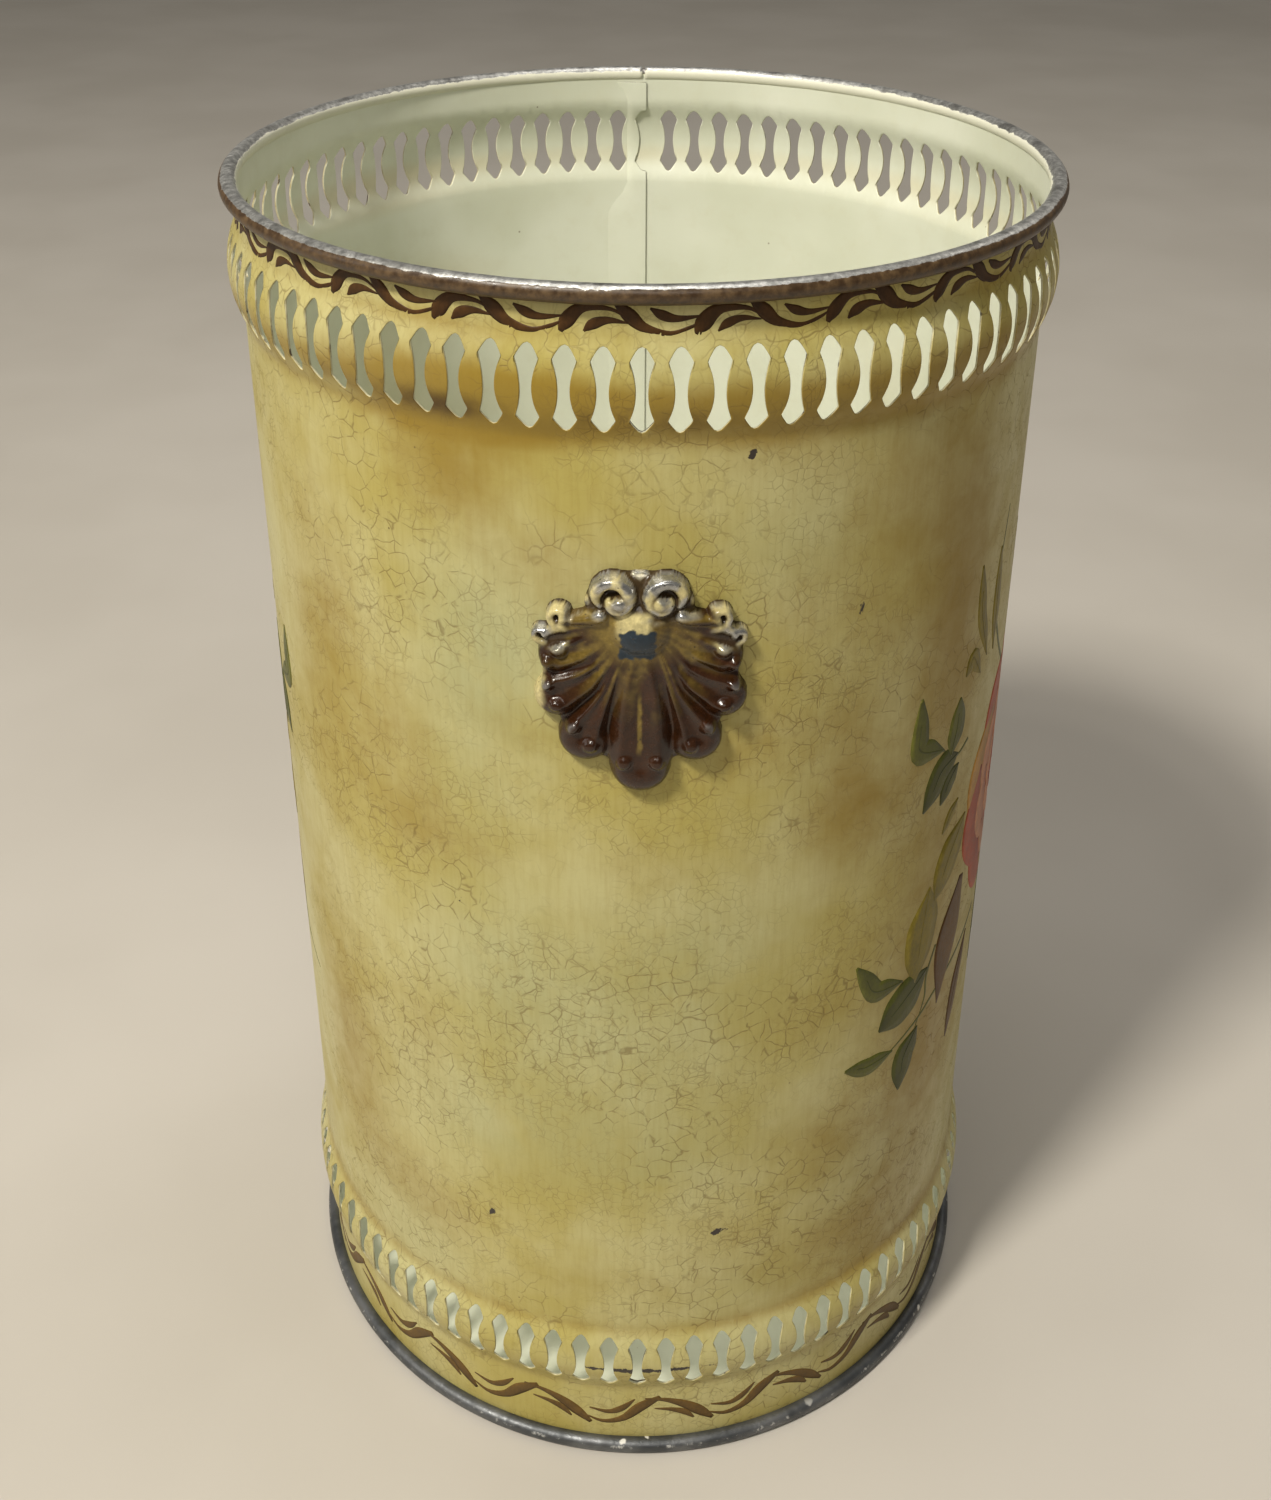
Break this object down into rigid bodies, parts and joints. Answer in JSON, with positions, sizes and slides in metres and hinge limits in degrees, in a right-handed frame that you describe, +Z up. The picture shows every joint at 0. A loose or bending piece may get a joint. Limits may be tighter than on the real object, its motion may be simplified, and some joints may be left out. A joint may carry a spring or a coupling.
{
  "type": "wastebasket",
  "caption": "Round painted tin wastebasket with rolled rim and foot, raised pierced bands near both ends and a raised shell ornament over each side seam.",
  "frame": {"origin": "centre of the foot ring, on the surface that the basket stands on", "axes": "+Z up the basket, -Y towards the seam with the front ornament, +X to the right when seen from the front"},
  "size_m": [0.2064, 0.2116, 0.347],
  "materials": {
    "wall_paint": "aged cream paint with amber glaze, satin",
    "inner_paint": "pale grey-cream paint, satin",
    "rim_metal": "dark brown paint worn to bright tin on top",
    "foot_metal": "worn dull tin, dark",
    "wire": "drawn steel wire",
    "shell_paint": "dark bronze-brown paint, semi-gloss, rubbed on the high places",
    "scroll_paint": "dark brown brushed paint",
    "leaf_paint": "olive and green brushed paint",
    "rose_paint": "pink and red brushed paint"
  },
  "bodies": {
    "root": {"wall_panel_left": "wall_paint", "wall_panel_right": "wall_paint", "top_rim_bead": "rim_metal", "top_rim_wire": "wire", "bottom_rim_bead": "foot_metal", "bottom_rim_wire": "wire", "base_pan": "inner_paint", "shell_ornament_front": "shell_paint", "shell_ornament_back": "shell_paint"}
  },
  "joints": []
}
